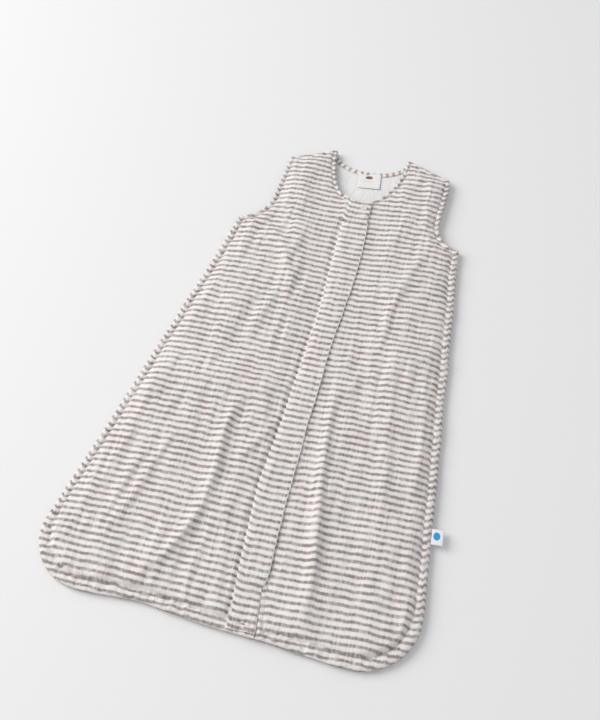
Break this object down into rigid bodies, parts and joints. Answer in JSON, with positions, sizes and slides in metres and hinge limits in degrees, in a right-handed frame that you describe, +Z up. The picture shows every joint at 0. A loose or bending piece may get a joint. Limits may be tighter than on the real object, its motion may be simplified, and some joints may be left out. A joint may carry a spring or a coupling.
{
  "type": "baby sleeping bag",
  "caption": "Sleeveless A-line baby sleeping bag in striped muslin, lying front up, with a covered front zip, a snap tab and a rounded hem.",
  "frame": {"origin": "middle of the underside, which lies on the surface", "axes": "+Y to the neck, +X to the right as one looks at the front, +Z up out of the front"},
  "size_m": [0.4816, 0.7526, 0.0169],
  "materials": {
    "muslin": "cotton muslin, crinkled, with narrow grey-taupe stripes on off-white",
    "muslin_placket": "the same striped muslin, doubled and topstitched",
    "muslin_edge": "the same striped muslin, turned in and topstitched",
    "lining": "plain white cotton muslin",
    "zip_tape": "woven polyester tape",
    "zip_teeth": "nylon coil",
    "slider_metal": "lacquered zinc",
    "snap": "moulded snap fastener",
    "neck_label": "woven satin ribbon with a plain oval",
    "flag_label": "folded woven ribbon with a plain blue shape"
  },
  "bodies": {
    "root": {"back_panel": "muslin", "back_lining": "lining", "front_left_panel": "muslin", "front_right_panel": "muslin", "front_left_lining": "lining", "front_right_lining": "lining", "neck_binding_back": "muslin_edge", "armhole_binding_left": "muslin_edge", "armhole_binding_right": "muslin_edge", "shoulder_seam_left": "muslin_edge", "shoulder_seam_right": "muslin_edge", "side_seam_left": "muslin_edge", "side_seam_right": "muslin_edge", "hem_seam": "muslin_edge", "placket_lower": "muslin_placket", "zip_tape_left_lower": "zip_tape", "zip_tape_right_lower": "zip_tape", "zip_teeth_left_lower": "zip_teeth", "zip_teeth_right_lower": "zip_teeth", "zip_bottom_stop": "zip_teeth", "neck_label": "neck_label", "flag_label": "flag_label"},
    "front_left": {"lapel_left": "muslin", "lapel_left_lining": "lining", "facing_left": "muslin", "neck_binding_left": "muslin_edge", "placket_upper": "muslin_placket", "zip_tape_left_upper": "zip_tape", "zip_teeth_left_upper": "zip_teeth", "zip_top_stop_left": "zip_teeth"},
    "front_right": {"lapel_right": "muslin", "lapel_right_lining": "lining", "facing_right": "muslin", "neck_binding_right": "muslin_edge", "zip_tape_right_upper": "zip_tape", "zip_teeth_right_upper": "zip_teeth", "zip_top_stop_right": "zip_teeth", "snap_stud": "snap", "snap_ring": "snap"},
    "snap_tab": {"placket_tab": "muslin_placket", "snap_cap": "snap", "snap_socket": "snap"},
    "slider": {"slider_body": "slider_metal"},
    "pull": {"pull_tab": "slider_metal"}
  },
  "joints": [
    {"name": "zip_slide", "type": "slide", "parent": "root", "child": "slider", "axis": [0, -1, 0], "range_m": [0, 0.447], "deforming": ["zip_tape_left_upper", "zip_tape_right_upper", "zip_teeth_left_upper", "zip_teeth_right_upper"]},
    {"name": "pull_swing", "type": "hinge", "parent": "slider", "child": "pull", "pos_m": [0.0411, 0.25176, 0.01285], "axis": [-1, 0, 0], "range_deg": [0, 90]},
    {"name": "front_left_open", "type": "hinge", "parent": "root", "child": "front_left", "pos_m": [0.0411, -0.25875, 0.016], "axis": [0.0755, -0.9971, 0], "range_deg": [0, 110]},
    {"name": "front_right_open", "type": "hinge", "parent": "root", "child": "front_right", "pos_m": [0.0411, -0.25875, 0.013], "axis": [0.0755, 0.9971, 0], "range_deg": [0, 110]},
    {"name": "snap_tab_open", "type": "hinge", "parent": "front_left", "child": "snap_tab", "pos_m": [0.0191, 0.26226, 0.016], "axis": [0, -1, 0], "range_deg": [0, 80]}
  ],
  "couplings": [
    {"joint": "pull_swing", "follows": "zip_slide", "rad_per_m": 3.514},
    {"joint": "front_left_open", "follows": "zip_slide", "rad_per_m": 4.2949},
    {"joint": "front_right_open", "follows": "zip_slide", "rad_per_m": 4.2949}
  ]
}
